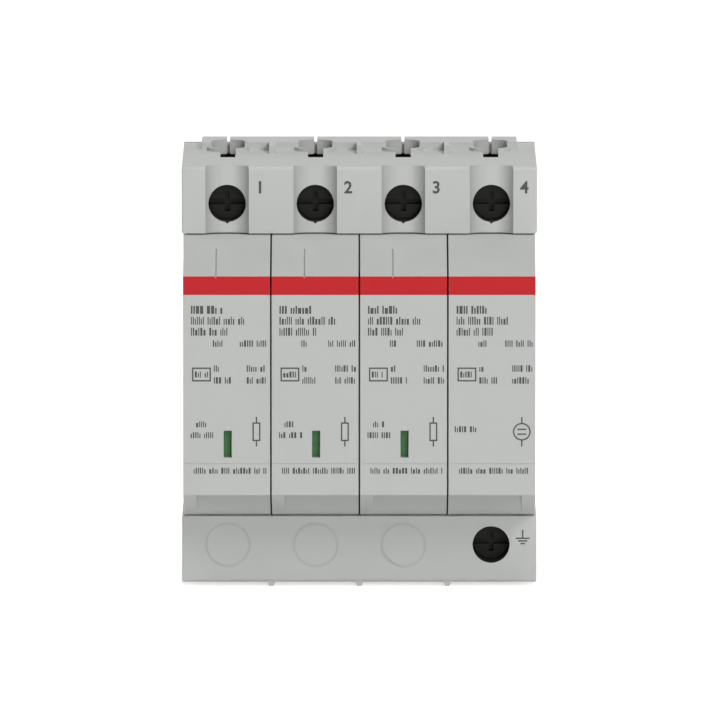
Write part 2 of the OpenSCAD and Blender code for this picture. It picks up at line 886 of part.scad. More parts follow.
module varistor(i) {
    y0 = varistor_back - varistor_d;
    color(ceramic_blue)
        along_x(varistor_t, pole_x(i) + carrier_x - slide_gap - varistor_t / 2)
            polygon([
                [y0 + varistor_bevel, varistor_high],
                [varistor_back - varistor_bevel, varistor_high],
                [varistor_back, varistor_high - varistor_bevel],
                [varistor_back, -varistor_high + varistor_bevel],
                [varistor_back - varistor_bevel, -varistor_high],
                [y0 + varistor_bevel, -varistor_high],
                [y0, -varistor_high + varistor_bevel],
                [y0, varistor_high - varistor_bevel]
            ]);
}

// Red frame beside the varistor, with the flag's guides on its front
module carrier(i) {
    guide_x = flag_w / 2 + fit_gap;
    color(signal_red)
        translate([pole_x(i), 0, 0]) {
            block(
                [carrier_x, pad_front, -varistor_high],
                [carrier_x + carrier_t, back_front - fit_gap, varistor_high]
            );
            translate([window_x, 0, 0]) {
                block(
                    [-guide_x - carrier_t, pad_front, ledge_low],
                    [guide_x + carrier_t, pad_back, flag_run_top]
                );
                block([-guide_x - carrier_t, flag_front, ledge_low], [guide_x + carrier_t, pad_back, ledge_top]);
                for (side = [0, 1])
                    mirror([side, 0, 0])
                        block([guide_x, flag_front, ledge_low], [guide_x + carrier_t, pad_back, flag_run_top]);
            }
        }
}

module indicator_flag(i) {
    color(signal_green)
        translate([pole_x(i) + window_x, 0, 0]) {
            block([-flag_w / 2, flag_front, flag_low], [flag_w / 2, flag_back, flag_low + flag_h]);
            block(
                [-flag_w / 2, flag_back - cut, slider_low],
                [flag_w / 2, slider_back, slider_low + slider_h]
            );
        }
}

module flag_spring(i) {
    color(steel)
        translate([pole_x(i) + window_x, (flag_back + slider_back) / 2, ledge_top + fit_gap])
            coil(flag_spring_d, flag_spring_wire, flag_spring_l - 2 * fit_gap, flag_spring_turns);
}

module discharge_tube() {
    color(ceramic_white)
        translate([pole_x(neutral_pole), tube_y, -tube_l / 2]) {
            cylinder(d = tube_d, h = tube_l);
            for (z = [0, tube_l - tube_cap_t])
                translate([0, 0, z]) cylinder(d = tube_d + 2 * tube_cap_step, h = tube_cap_t);
        }
}

base_housing();
rear_cover();
neutral_busbar();
earth_contact();
discharge_tube();
for (i = clips) {
    rail_clip(i);
    clip_spring(i);
}
for (i = terminals) {
    terminal_screw(i);
    terminal_cage(i);
}
for (i = poles) {
    cartridge_shell(i);
    cartridge_back(i);
    upper_blade(i);
    lower_blade(i);
}
for (i = varistor_poles) {
    line_contact(i);
    varistor(i);
    carrier(i);
    indicator_flag(i);
    flag_spring(i);
}
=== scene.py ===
"""Looks of the rail-mounted surge arrester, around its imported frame. Lengths are in metres."""
import json
import math
import random

import bmesh
import bpy
from mathutils import Matrix, Vector


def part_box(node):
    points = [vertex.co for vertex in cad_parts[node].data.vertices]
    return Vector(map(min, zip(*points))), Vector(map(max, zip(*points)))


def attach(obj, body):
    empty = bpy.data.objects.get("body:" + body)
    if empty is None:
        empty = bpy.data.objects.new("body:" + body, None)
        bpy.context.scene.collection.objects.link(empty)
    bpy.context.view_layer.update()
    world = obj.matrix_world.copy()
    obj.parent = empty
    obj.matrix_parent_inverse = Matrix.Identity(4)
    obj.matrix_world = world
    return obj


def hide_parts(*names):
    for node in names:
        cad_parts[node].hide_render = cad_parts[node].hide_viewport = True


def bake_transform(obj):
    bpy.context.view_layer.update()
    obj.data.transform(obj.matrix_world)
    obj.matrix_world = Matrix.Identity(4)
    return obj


MM = 0.001
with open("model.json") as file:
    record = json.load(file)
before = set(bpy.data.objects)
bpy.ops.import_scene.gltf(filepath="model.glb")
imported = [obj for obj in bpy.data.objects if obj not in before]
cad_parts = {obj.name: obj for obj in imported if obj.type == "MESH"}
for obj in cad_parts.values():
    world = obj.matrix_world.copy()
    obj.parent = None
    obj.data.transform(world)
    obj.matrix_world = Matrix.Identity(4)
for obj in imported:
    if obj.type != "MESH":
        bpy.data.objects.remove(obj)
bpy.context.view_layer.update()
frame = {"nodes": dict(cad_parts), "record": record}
nodes = frame["nodes"]
slot_of = {s["node"]: s["material_slot"] for s in frame["record"]["subparts"]}
body_of = {n: body for body, names in frame["record"]["behaviour"]["bodies"].items() for n in names}

POLES = (1, 2, 3, 4)
VARISTOR_POLES = (1, 2, 3)
NEUTRAL_POLE = 4
CLIPS = (1, 2)

# Planes and places taken from the frame
BASE_LOW, BASE_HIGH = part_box("base_housing")
SHELL_BOXES = {i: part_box(f"cartridge_shell_{i}") for i in POLES}
SHELL_X = {i: (low.x + high.x) / 2 for i, (low, high) in SHELL_BOXES.items()}
NOSE_Y = SHELL_BOXES[1][0].y
TERMINAL_Y = BASE_LOW.y
SCREW_LOW, SCREW_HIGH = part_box("terminal_screw_1")
SCREW_Z = (SCREW_LOW.z + SCREW_HIGH.z) / 2
PITCH = SHELL_X[2] - SHELL_X[1]

# Red band, grip and line of each cartridge's shell, with painted shade in the grip
STRIPE_LOW, STRIPE_EDGE = 18.44 * MM, 0.1 * MM
NOSE_TOP, SHELL_TOP = 22.15 * MM, SHELL_BOXES[1][1].z
SHELL_HALF = 8.6 * MM
# Painted shade in the finger grip, darkest at the grip's front and fading towards the back
GRIP_MIN, GRIP_MAX, GRIP_SHADE = 0.02 * MM, 0.6 * MM, 0.76
GRIP_FRONT = 0.5 * MM
LINE_X, LINE_HALF, LINE_TINT = -2.15 * MM, 0.2 * MM, 0.7

# Driver holes, flutes and ring grooves of the base, with painted shade in them
HOLE_R = 3.78 * MM
HOLE_LIP = 0.3 * MM
NOTCH_R = 0.55 * MM
FLUTE_FLOOR = TERMINAL_Y + 1.63 * MM
FLUTE_HALF = 4.42 * MM
FLANK_FROM = 0.2
RECESS_MIN = 0.03 * MM
# Painted shade: the flutes' flanks and the ring grooves are darkened
RECESS_SHADE = 0.72
RING_DEEP, RING_SHADE = 0.2 * MM, 0.25
RING_LOW, RING_HIGH = -41 * MM, -29.5 * MM

# Moulded edges
EDGE_R, EDGE_SEGMENTS = 0.3 * MM, 3
FACE_MIN = 0.9 * MM
LIP_MIN = 20 * MM
TINY = 0.002 * MM
SHARP = math.radians(30)
FLAT = math.radians(0.5)

# Springs
COIL_SIDES = 10
COIL_STEPS = 24
CLIP_WIRE, CLIP_TURNS = 0.5 * MM, 7
FLAG_WIRE, FLAG_TURNS = 0.35 * MM, 5

# Print on each nose, in millimetres from the cartridge's centre. A line of strokes is
# (from x, to x, z, height, weight).
PRINT_ROWS = (
    (-7.15, -0.75, 15.43, 1.6, 1.5), (-7.15, 4.05, 13.22, 1.6, 1.0), (-7.15, 0.25, 11.0, 1.6, 1.0),
    (-2.75, -0.75, 8.59, 1.3, 1.0), (2.65, 8.25, 8.59, 1.3, 1.0),
    (-2.55, -1.55, 3.53, 1.3, 1.0), (4.05, 8.25, 3.53, 1.3, 1.0),
    (-2.55, 1.05, 1.11, 1.3, 1.0), (4.05, 8.25, 1.11, 1.3, 1.0),
    (-6.65, 8.15, -17.24, 1.2, 1.0),
)
VARISTOR_ROWS = ((-6.15, -3.75, -7.8, 1.2, 1.0), (-7.25, -2.55, -10.01, 1.2, 1.0))
NEUTRAL_ROWS = ((-7.5, -3.1, -8.8, 1.2, 1.0),)
STROKE_WIDTHS = (0.2, 0.2, 0.26, 0.42)
STROKE_HEIGHTS = (1.0, 1.0, 0.74)
STROKE_GAP = 0.2
WORD_GAP = 0.75
WORD_STROKES = (3, 7)
FRAME_RECT = (-6.95, 0.9, -3.15, 3.73)
FRAME_PRINT_H, FRAME_PRINT_BOLD = 1.2, 1.0
FINE = 0.28
PRINT_T = 0.03 * MM
SYMBOL_X, SYMBOL_Z, SYMBOL_H = 6.0, -9.31, 3.0
BOX_W, BOX_H = 0.8, 1.9
TUBE_R, TUBE_GAP, TUBE_PLATE = 1.8, 0.35, 0.9
CIRCLE_POINTS = 40
DIGIT_X, DIGIT_Z, DIGIT_H, DIGIT_BOLD = 6.65, 38.05, 2.4, 0.08
FONT_CAP = 0.7
DIGIT_WELD = TINY / 10
EARTH_X, EARTH_Z, EARTH_H, EARTH_W, EARTH_STEP = 33.1, -33.3, 3.2, 1.4, 0.55
EARTH_BARS = 3

# Camera, as the photograph sees the object
IMAGE_PX = 720
SENSOR = 36 * MM
VIEW_ELEVATION = math.radians(7.65)
VIEW_DISTANCE = 3.0
PX_PER_M = 4944
VIEW_TARGET = Vector((0.14 * MM, TERMINAL_Y, 3.0 * MM))
VIEW_FAR = 100

# Studio: the glow lights the object, and the camera and glossy surfaces see the other strength
FLOOR_HALF, FLOOR_WHITE, FLOOR_ROUGH = 8.0, 0.86, 0.9
FLOOR_GLOW, FLOOR_SEEN = 0.07, 0.6
WORLD_GLOW, WORLD_SEEN = 0.03, 1.0
LAMPS = (
    # name, place, size in metres, power in watts
    ("key", (0.6, -2.1, 0.5), 0.7, 13.2),
    ("side", (0.9, -1.75, 1.3), 0.7, 16.8),
    ("top", (0.0, -0.3, 1.8), 1.2, 15.5),
    ("rear_left", (-1.5, 1.3, 0.35), 0.8, 18.0),
    ("rear_right", (1.5, 1.3, 0.35), 0.8, 13.0),
)

# Grain of the surfaces: noise cells per metre, depths of bump and spreads of roughness
CLOUD_CELLS, GRAIN_CELLS = 70, 4200
BAND_CELLS, INK_CELLS = 1500, 2600
BUMP_DEEP, SPECKLE_DEEP = 0.02 * MM, 0.03 * MM
PLASTIC_SPREAD, PLASTIC_SPECULAR = 0.07, 0.3
METAL_DARK, METAL_LIGHT, METAL_SPREAD, METAL_BUMP = 0.8, 1.15, 0.1, 0.15
SPECKLE_SPREAD, SPECKLE_BUMP = 0.08, 0.1
BAND_CONTRAST, INK_CONTRAST = 0.05, 0.15
INK_ROUGH = (0.45, 0.65)


def linear(r, g, b):
    """Colour from its sRGB bytes, as shader sockets take it."""
    def channel(v):
        v /= 255
        return v / 12.92 if v <= 0.04045 else ((v + 0.055) / 1.055) ** 2.4
    return (channel(r), channel(g), channel(b), 1.0)


GREY = linear(190, 192, 189)
GREY_BASE = linear(194, 196, 193)
GREY_DARKER = linear(176, 178, 175)
RED = linear(191, 27, 34)
GREEN = linear(58, 112, 62)
INK = linear(64, 65, 66)
# Painted shade inside the driver holes and their notches
HOLE_SHADE = linear(46, 47, 45)
COPPER = linear(205, 140, 105)
DARK_STEEL = linear(33, 33, 32)
ZINC = linear(186, 186, 180)
WIRE = linear(150, 152, 155)
COATING = linear(66, 92, 140)
CARRIER_RED = linear(188, 30, 36)
CERAMIC = linear(236, 236, 230)


def new_material(name):
    """Empty node material with its shader and object coordinates ready."""
    mat = bpy.data.materials.new(name)
    mat.use_nodes = True
    tree = mat.node_tree
    shader = tree.nodes["Principled BSDF"]
    coords = tree.nodes.new("ShaderNodeTexCoord").outputs["Object"]
    return mat, tree, shader, coords


def noise(tree, coords, scale, detail=3.0, roughness=0.55, stretch=None):
    """Noise texture's value at a number of cells per metre."""
    node = tree.nodes.new("ShaderNodeTexNoise")
    node.inputs["Scale"].default_value = scale
    node.inputs["Detail"].default_value = detail
    node.inputs["Roughness"].default_value = roughness
    if stretch:
        mapping = tree.nodes.new("ShaderNodeMapping")
        mapping.inputs["Scale"].default_value = stretch
        tree.links.new(coords, mapping.inputs["Vector"])
        coords = mapping.outputs["Vector"]
    tree.links.new(coords, node.inputs["Vector"])
    return node.outputs["Fac"]


def spread(tree, value, low, high):
    """Value from 0 to 1 mapped to a range."""
    node = tree.nodes.new("ShaderNodeMapRange")
    node.inputs["To Min"].default_value = low
    node.inputs["To Max"].default_value = high
    tree.links.new(value, node.inputs["Value"])
    return node.outputs["Result"]


def mixed(tree, factor, first, second):
    """Mix of two colours, each a socket or a plain colour."""
    node = tree.nodes.new("ShaderNodeMix")
    node.data_type = "RGBA"
    tree.links.new(factor, node.inputs["Factor"])
    for socket, colour in ((node.inputs[6], first), (node.inputs[7], second)):
        if isinstance(colour, tuple):
            socket.default_value = colour
        else:
            tree.links.new(colour, socket)
    return node.outputs[2]


def math_node(tree, operation, first, second):
    """Math node of a socket and a number or another socket."""
    node = tree.nodes.new("ShaderNodeMath")
    node.operation = operation
    for socket, value in ((node.inputs[0], first), (node.inputs[1], second)):
        if isinstance(value, (int, float)):
            socket.default_value = value
        else:
            tree.links.new(value, socket)
    return node.outputs[0]


def product(tree, first, *others):
    """Product of a socket with numbers or more sockets."""
    for value in others:
        first = math_node(tree, "MULTIPLY", first, value)
    return first


def tinted(colour, factor):
    """Colour made darker or lighter."""
    return tuple(min(1.0, c * factor) for c in colour[:3]) + (1.0,)


def add_bump(tree, shader, height, strength, distance):
    """Bump of a height socket on the shader's normal."""
    node = tree.nodes.new("ShaderNodeBump")
    node.inputs["Strength"].default_value = strength
    node.inputs["Distance"].default_value = distance
    tree.links.new(height, node.inputs["Height"])
    tree.links.new(node.outputs["Normal"], shader.inputs["Normal"])


def moulded_plastic(name, colour, roughness=0.66, grain=0.12, contrast=0.025):
    """Moulded plastic with a fine eroded grain and a faint cloudiness. Returns its parts too."""
    mat, tree, shader, coords = new_material(name)
    cloud = noise(tree, coords, CLOUD_CELLS, detail=4)
    base = mixed(tree, cloud, tinted(colour, 1 - contrast), tinted(colour, 1 + contrast))
    tree.links.new(base, shader.inputs["Base Color"])
    fine = noise(tree, coords, GRAIN_CELLS, detail=2)
    dull = spread(tree, fine, roughness - PLASTIC_SPREAD, roughness + PLASTIC_SPREAD)
    tree.links.new(dull, shader.inputs["Roughness"])
    shader.inputs["Specular IOR Level"].default_value = PLASTIC_SPECULAR
    add_bump(tree, shader, fine, grain, BUMP_DEEP)
    return mat, tree, shader, coords, base


def split_axes(tree, coords):
    """The x, y and z sockets of coordinates."""
    node = tree.nodes.new("ShaderNodeSeparateXYZ")
    tree.links.new(coords, node.inputs["Vector"])
    return node.outputs["X"], node.outputs["Y"], node.outputs["Z"]


def between(tree, value, low, high):
    """1 where a socket lies between two numbers, else 0."""
    above = math_node(tree, "GREATER_THAN", value, low)
    return product(tree, above, math_node(tree, "LESS_THAN", value, high))


def pole_offset(tree, x):
    """Distance along X from the middle of the pole that a point belongs to."""
    turn = math_node(tree, "FRACT", math_node(tree, "DIVIDE", x, PITCH), 0.0)
    return product(tree, math_node(tree, "SUBTRACT", turn, 0.5), PITCH)


def bored_plastic(name):
    """Grey plastic with painted shade on the flutes' flanks, in the ring grooves and inside the driver
    holes.
    """
    mat, tree, shader, coords, base = moulded_plastic(name, GREY_BASE)
    x, y, z = split_axes(tree, coords)
    across = pole_offset(tree, x)
    height = math_node(tree, "ABSOLUTE", z, 0.0)
    side = math_node(tree, "DIVIDE", math_node(tree, "ABSOLUTE", across, 0.0), FLUTE_HALF)
    # Painted shade on the flutes' flanks, stronger towards each flute's edges
    recess = between(tree, y, TERMINAL_Y + RECESS_MIN, FLUTE_FLOOR)
    upper = math_node(tree, "GREATER_THAN", z, 0.0)
    ramp = math_node(tree, "DIVIDE", math_node(tree, "SUBTRACT", side, FLANK_FROM), 1 - FLANK_FROM)
    flank_shade_mask = product(tree, recess, between(tree, side, FLANK_FROM, 1.0), upper, ramp)
    # Painted shade in the ring grooves
    groove = between(tree, y, TERMINAL_Y + RECESS_MIN, TERMINAL_Y + RING_DEEP)
    groove_shade_mask = product(tree, groove, between(tree, z, RING_LOW, RING_HIGH), RING_SHADE)
    base = mixed(tree, math_node(tree, "MAXIMUM", flank_shade_mask, groove_shade_mask), base, tinted(GREY_BASE, RECESS_SHADE))
    # Painted shade inside the driver holes and in the notch under each
    hole_shade_mask = None
    for centre_z, radius, front in (
        (SCREW_Z, HOLE_R, TERMINAL_Y + HOLE_LIP),
        (SCREW_Z - HOLE_R, NOTCH_R, FLUTE_FLOOR),
    ):
        upward = math_node(tree, "SUBTRACT", height, centre_z)
        squares = (product(tree, v, v) for v in (across, upward))
        near_axis = math_node(tree, "LESS_THAN", math_node(tree, "ADD", *squares), radius ** 2)
        inside = product(tree, near_axis, math_node(tree, "GREATER_THAN", y, front))
        hole_shade_mask = math_node(tree, "MAXIMUM", hole_shade_mask, inside) if hole_shade_mask else inside
    tree.links.new(mixed(tree, hole_shade_mask, base, HOLE_SHADE), shader.inputs["Base Color"])
    return mat


def striped_shell(name):
    """Grey plastic with the red band across the nose, painted shade in the grip that fades towards the
    back, and a darker line on the shoulder.
    """
    mat, tree, shader, coords, base = moulded_plastic(name, GREY)
    x, y, z = split_axes(tree, coords)
    across = pole_offset(tree, x)
    back = math_node(tree, "SUBTRACT", y, NOSE_Y)
    slope = (SHELL_TOP - NOSE_TOP) / (TERMINAL_Y - NOSE_Y)
    surface = math_node(tree, "ADD", product(tree, back, slope), NOSE_TOP)
    depth = math_node(tree, "SUBTRACT", surface, math_node(tree, "ABSOLUTE", z, 0.0))
    on_shoulder = math_node(tree, "GREATER_THAN", back, GRIP_FRONT)
    sunk = product(tree, between(tree, depth, GRIP_MIN, GRIP_MAX), on_shoulder)
    inner = between(tree, across, -SHELL_HALF, SHELL_HALF)
    # Painted shade in the grip, strongest at its front
    grip_shade_mask = product(tree, sunk, inner, math_node(tree, "DIVIDE", depth, GRIP_MAX))
    base = mixed(tree, grip_shade_mask, base, tinted(GREY, GRIP_SHADE))
    upper = math_node(tree, "GREATER_THAN", z, 0.0)
    line = product(tree, sunk, between(tree, across, LINE_X - LINE_HALF, LINE_X + LINE_HALF), upper)
    base = mixed(tree, line, base, tinted(GREY, LINE_TINT))
    above = math_node(tree, "GREATER_THAN", z, STRIPE_LOW)
    band = product(tree, above, math_node(tree, "LESS_THAN", y, NOSE_Y + STRIPE_EDGE))
    speckle = noise(tree, coords, BAND_CELLS, detail=2)
    red = mixed(tree, speckle, tinted(RED, 1 - BAND_CONTRAST), tinted(RED, 1 + BAND_CONTRAST))
    tree.links.new(mixed(tree, band, base, red), shader.inputs["Base Color"])
    return mat


def metal(name, colour, roughness, stretch=(1, 1, 1), streaks=900):
    """Metal with drawn or turned streaks in its gloss."""
    mat, tree, shader, coords = new_material(name)
    lines = noise(tree, coords, streaks, detail=4, roughness=0.6, stretch=stretch)
    base = mixed(tree, lines, tinted(colour, METAL_DARK), tinted(colour, METAL_LIGHT))
    tree.links.new(base, shader.inputs["Base Color"])
    gloss = spread(tree, lines, roughness - METAL_SPREAD, roughness + METAL_SPREAD)
    tree.links.new(gloss, shader.inputs["Roughness"])
    shader.inputs["Metallic"].default_value = 1.0
    add_bump(tree, shader, lines, METAL_BUMP, BUMP_DEEP)
    return mat


def speckled(name, colour, roughness, cells, contrast):
    """Ceramic or coated surface with fine speckles."""
    mat, tree, shader, coords = new_material(name)
    grains = noise(tree, coords, cells, detail=5, roughness=0.7)
    base = mixed(tree, grains, tinted(colour, 1 - contrast), tinted(colour, 1 + contrast))
    tree.links.new(base, shader.inputs["Base Color"])
    gloss = spread(tree, grains, roughness - SPECKLE_SPREAD, roughness + SPECKLE_SPREAD)
    tree.links.new(gloss, shader.inputs["Roughness"])
    add_bump(tree, shader, grains, SPECKLE_BUMP, SPECKLE_DEEP)
    return mat


def print_ink(name, colour):
    """Pad-printed ink, slightly uneven."""
    mat, tree, shader, coords = new_material(name)
    speckle = noise(tree, coords, INK_CELLS)
    base = mixed(tree, speckle, tinted(colour, 1 - INK_CONTRAST), tinted(colour, 1 + INK_CONTRAST))
    tree.links.new(base, shader.inputs["Base Color"])
    tree.links.new(spread(tree, speckle, *INK_ROUGH), shader.inputs["Roughness"])
    return mat


materials = {
    "housing": bored_plastic("housing_plastic"),
    "cover": moulded_plastic("cover_plastic", GREY_DARKER)[0],
    "shell": striped_shell("shell_plastic"),
    "shell_back": moulded_plastic("shell_back_plastic", GREY_DARKER)[0],
    "copper": metal("copper_strip", COPPER, roughness=0.35, stretch=(1, 0.15, 1)),
    "screw": metal("burnished_steel", DARK_STEEL, roughness=0.45, streaks=1800),
    "cage": metal("zinc_plate", ZINC, roughness=0.4, stretch=(1, 1, 0.2)),
    "spring": metal("spring_wire", WIRE, roughness=0.3, stretch=(1, 1, 4)),
    "varistor": speckled("varistor_coat", COATING, roughness=0.45, cells=1400, contrast=0.12),
    "carrier": moulded_plastic("carrier_plastic", CARRIER_RED, roughness=0.4)[0],
    "flag": moulded_plastic("flag_plastic", GREEN, roughness=0.38)[0],
    "ceramic": speckled("tube_ceramic", CERAMIC, roughness=0.25, cells=700, contrast=0.03),
}
ink = print_ink("print_ink", INK)


def dress(obj, mat):
    """Gives an object one material."""
    obj.data.materials.clear()
    obj.data.materials.append(mat)


def face_thickness(face):
    """Rough width of a face, from its area and its outline's length."""
    return 2 * face.calc_area() / face.calc_perimeter()


def on_end_plane(edge):
    """Whether an edge lies in one of the base's two end planes."""
    return all(BASE_HIGH.x - abs(v.co.x) < TINY for v in edge.verts)


def on_lower_lip(edge):
    """Whether an edge is the long front edge of the lower terminal block, at the bay."""
    in_front = all(v.co.y - TERMINAL_Y < TINY and v.co.z < 0 for v in edge.verts)
    return edge.calc_length() > LIP_MIN and in_front


def of_base(edge):
    """Edges of the base that are rounded: round each end, and along the lower block."""
    return on_end_plane(edge) or on_lower_lip(edge)


def of_broad_faces(edge):
    """Edges between two broad faces."""
    return min(face_thickness(f) for f in edge.link_faces) > FACE_MIN


def softened(node, radius, chosen):
    """Copy of a moulded node whose chosen outer edges are rounded, standing for the node."""
    mesh = bmesh.new()
    mesh.from_mesh(nodes[node].data)
    bmesh.ops.remove_doubles(mesh, verts=mesh.verts, dist=TINY)
    bmesh.ops.dissolve_limit(mesh, angle_limit=FLAT, verts=mesh.verts, edges=mesh.edges)
    edges = [
        e for e in mesh.edges
        if e.is_manifold and e.is_convex and e.calc_face_angle() > SHARP and chosen(e)
    ]
    bmesh.ops.bevel(mesh, geom=edges, offset=radius, segments=EDGE_SEGMENTS,
                    profile=0.5, affect="EDGES", clamp_overlap=True)
    for face in mesh.faces:
        face.smooth = True
    for edge in mesh.edges:
        edge.smooth = edge.is_manifold and edge.calc_face_angle() < SHARP
    data = bpy.data.meshes.new(node + "_moulded")
    mesh.to_mesh(data)
    mesh.free()
    piece = bpy.data.objects.new(node + "_moulded", data)
    bpy.context.scene.collection.objects.link(piece)
    shading = piece.modifiers.new("shading", "WEIGHTED_NORMAL")
    shading.keep_sharp = True
    dress(piece, materials[slot_of[node]])
    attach(piece, body_of[node])
    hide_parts(node)


for name, obj in nodes.items():
    dress(obj, materials[slot_of[name]])
softened("base_housing", EDGE_R, of_base)
rounded_nodes = ["rear_cover", *(f"cartridge_shell_{i}" for i in POLES), *(f"rail_clip_{i}" for i in CLIPS)]
for name in rounded_nodes:
    softened(name, EDGE_R, of_broad_faces)


def link_piece(name, mesh, mat):
    """Object of a finished bmesh, in the scene, with its material."""
    bmesh.ops.recalc_face_normals(mesh, faces=mesh.faces)
    data = bpy.data.meshes.new(name)
    mesh.to_mesh(data)
    mesh.free()
    piece = bpy.data.objects.new(name, data)
    bpy.context.scene.collection.objects.link(piece)
    dress(piece, mat)
    return piece


def coil(node, wire, turns):
    """Spring of round wire with a closed turn at each end, in place of the node."""
    low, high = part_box(node)
    radius = (high.x - low.x - wire) / 2
    middle = (low + high) / 2
    free = high.z - low.z - 3 * wire
    steps = turns * COIL_STEPS
    mesh = bmesh.new()
    rings = []
    for step in range(steps + 1):
        turn = turns * step / steps
        angle = math.tau * turn
        end_turns = min(turn, 1) + max(turn - (turns - 1), 0)
        z = low.z + wire / 2 + wire * end_turns + free * min(max(turn - 1, 0) / (turns - 2), 1)
        groove_shade_mask = []
        for k in range(COIL_SIDES):
            around = math.tau * k / COIL_SIDES
            reach = radius + wire / 2 * math.cos(around)
            x = middle.x + reach * math.cos(angle)
            y = middle.y + reach * math.sin(angle)
            groove_shade_mask.append(mesh.verts.new((x, y, z + wire / 2 * math.sin(around))))
        rings.append(groove_shade_mask)
    for here, there in zip(rings, rings[1:]):
        for k in range(COIL_SIDES):
            n = (k + 1) % COIL_SIDES
            mesh.faces.new((here[k], here[n], there[n], there[k])).smooth = True
    mesh.faces.new(rings[0])
    mesh.faces.new(rings[-1])
    piece = link_piece(node + "_wire", mesh, materials["spring"])
    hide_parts(node)
    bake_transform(piece)


def plate(mesh, outline, plane_y):
    """Thin closed plate on a plane that faces -Y, from (x, z) points in millimetres."""
    front = [mesh.verts.new((x * MM, plane_y - PRINT_T, z * MM)) for x, z in outline]
    back = [mesh.verts.new((x * MM, plane_y, z * MM)) for x, z in outline]
    mesh.faces.new(front)
    mesh.faces.new(reversed(back))
    for k in range(len(outline)):
        n = (k + 1) % len(outline)
        mesh.faces.new((front[n], front[k], back[k], back[n]))


def loop_plate(mesh, outer, inner, plane_y):
    """Thin closed ring between two outlines with as many points each."""
    loops = [
        [mesh.verts.new((x * MM, y, z * MM)) for x, z in outline]
        for y in (plane_y - PRINT_T, plane_y) for outline in (outer, inner)
    ]
    front_out, front_in, back_out, back_in = loops
    for a, b in ((front_out, front_in), (front_in, back_in), (back_in, back_out), (back_out, front_out)):
        for k in range(len(outer)):
            n = (k + 1) % len(outer)
            mesh.faces.new((a[k], a[n], b[n], b[k]))


def rect(x0, z0, x1, z1):
    """Outline of a rectangle."""
    return [(x0, z0), (x1, z0), (x1, z1), (x0, z1)]


def circle(x, z, radius):
    """Outline of a circle."""
    angles = [math.tau * k / CIRCLE_POINTS for k in range(CIRCLE_POINTS)]
    return [(x + radius * math.cos(a), z + radius * math.sin(a)) for a in angles]


def stroke_row(draw, x0, x1, z, height, bold):
    """Small upright strokes in groups, which stand for a line of small print."""
    outlines = []
    x = x0
    left = draw.randint(*WORD_STROKES)
    while True:
        width = bold * draw.choice(STROKE_WIDTHS)
        if x + width > x1:
            return outlines
        top = height * draw.choice(STROKE_HEIGHTS)
        outlines.append(rect(x, z - height / 2, x + width, z - height / 2 + top))
        left -= 1
        x += width + (STROKE_GAP if left else WORD_GAP)
        left = left or draw.randint(*WORD_STROKES)


def cartridge_print(i):
    """Lines of strokes, a frame and a circuit symbol on the nose of one cartridge."""
    draw = random.Random(i)
    centre = SHELL_X[i] / MM
    mesh = bmesh.new()
    low_rows = NEUTRAL_ROWS if i == NEUTRAL_POLE else VARISTOR_ROWS
    for x0, x1, z, height, bold in (*PRINT_ROWS, *low_rows):
        for outline in stroke_row(draw, centre + x0, centre + x1, z, height, bold):
            plate(mesh, outline, NOSE_Y)
    x0, z0, x1, z1 = FRAME_RECT
    outer = rect(centre + x0, z0, centre + x1, z1)
    inner = rect(centre + x0 + FINE, z0 + FINE, centre + x1 - FINE, z1 - FINE)
    loop_plate(mesh, outer, inner, NOSE_Y)
    left, right = centre + x0 + 2 * FINE, centre + x1 - 2 * FINE
    for outline in stroke_row(draw, left, right, (z0 + z1) / 2, FRAME_PRINT_H, FRAME_PRINT_BOLD):
        plate(mesh, outline, NOSE_Y)
    circuit_symbol(mesh, centre + SYMBOL_X, SYMBOL_Z, i == NEUTRAL_POLE)
    piece = link_piece(f"cartridge_print_{i}", mesh, ink)
    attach(piece, f"cartridge_{i}")


def circuit_symbol(mesh, x, z, tube):
    """Plain circuit symbol: a resistor with its leads, or a tube with two electrodes."""
    half = FINE / 2
    if tube:
        loop_plate(mesh, circle(x, z, TUBE_R), circle(x, z, TUBE_R - FINE), NOSE_Y)
        for side in (-1, 1):
            bar = sorted((z + side * TUBE_GAP, z + side * (TUBE_GAP + FINE)))
            plate(mesh, rect(x - TUBE_PLATE, bar[0], x + TUBE_PLATE, bar[1]), NOSE_Y)
            lead = sorted((z + side * TUBE_R, z + side * SYMBOL_H))
            plate(mesh, rect(x - half, lead[0], x + half, lead[1]), NOSE_Y)
        return
    outer = rect(x - BOX_W, z - BOX_H, x + BOX_W, z + BOX_H)
    inner = rect(x - BOX_W + FINE, z - BOX_H + FINE, x + BOX_W - FINE, z + BOX_H - FINE)
    loop_plate(mesh, outer, inner, NOSE_Y)
    for side in (-1, 1):
        lead = sorted((z + side * BOX_H, z + side * SYMBOL_H))
        plate(mesh, rect(x - half, lead[0], x + half, lead[1]), NOSE_Y)


def numeral(name, digit, x, z):
    """Plain digit printed on the terminal block."""
    curve = bpy.data.curves.new(name, "FONT")
    curve.body = str(digit)
    curve.size = DIGIT_H / FONT_CAP * MM
    curve.extrude = PRINT_T / 2
    curve.offset = DIGIT_BOLD * MM
    curve.align_x = "CENTER"
    curve.align_y = "CENTER"
    text = bpy.data.objects.new(name, curve)
    data = bpy.data.meshes.new_from_object(text)
    bpy.data.objects.remove(text)
    mesh = bmesh.new()
    mesh.from_mesh(data)
    bmesh.ops.remove_doubles(mesh, verts=mesh.verts, dist=DIGIT_WELD)
    place = Matrix.Translation((x, TERMINAL_Y - PRINT_T / 2, z)) @ Matrix.Rotation(math.pi / 2, 4, "X")
    bmesh.ops.transform(mesh, matrix=place, verts=mesh.verts)
    piece = link_piece(name, mesh, ink)
    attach(piece, "base")


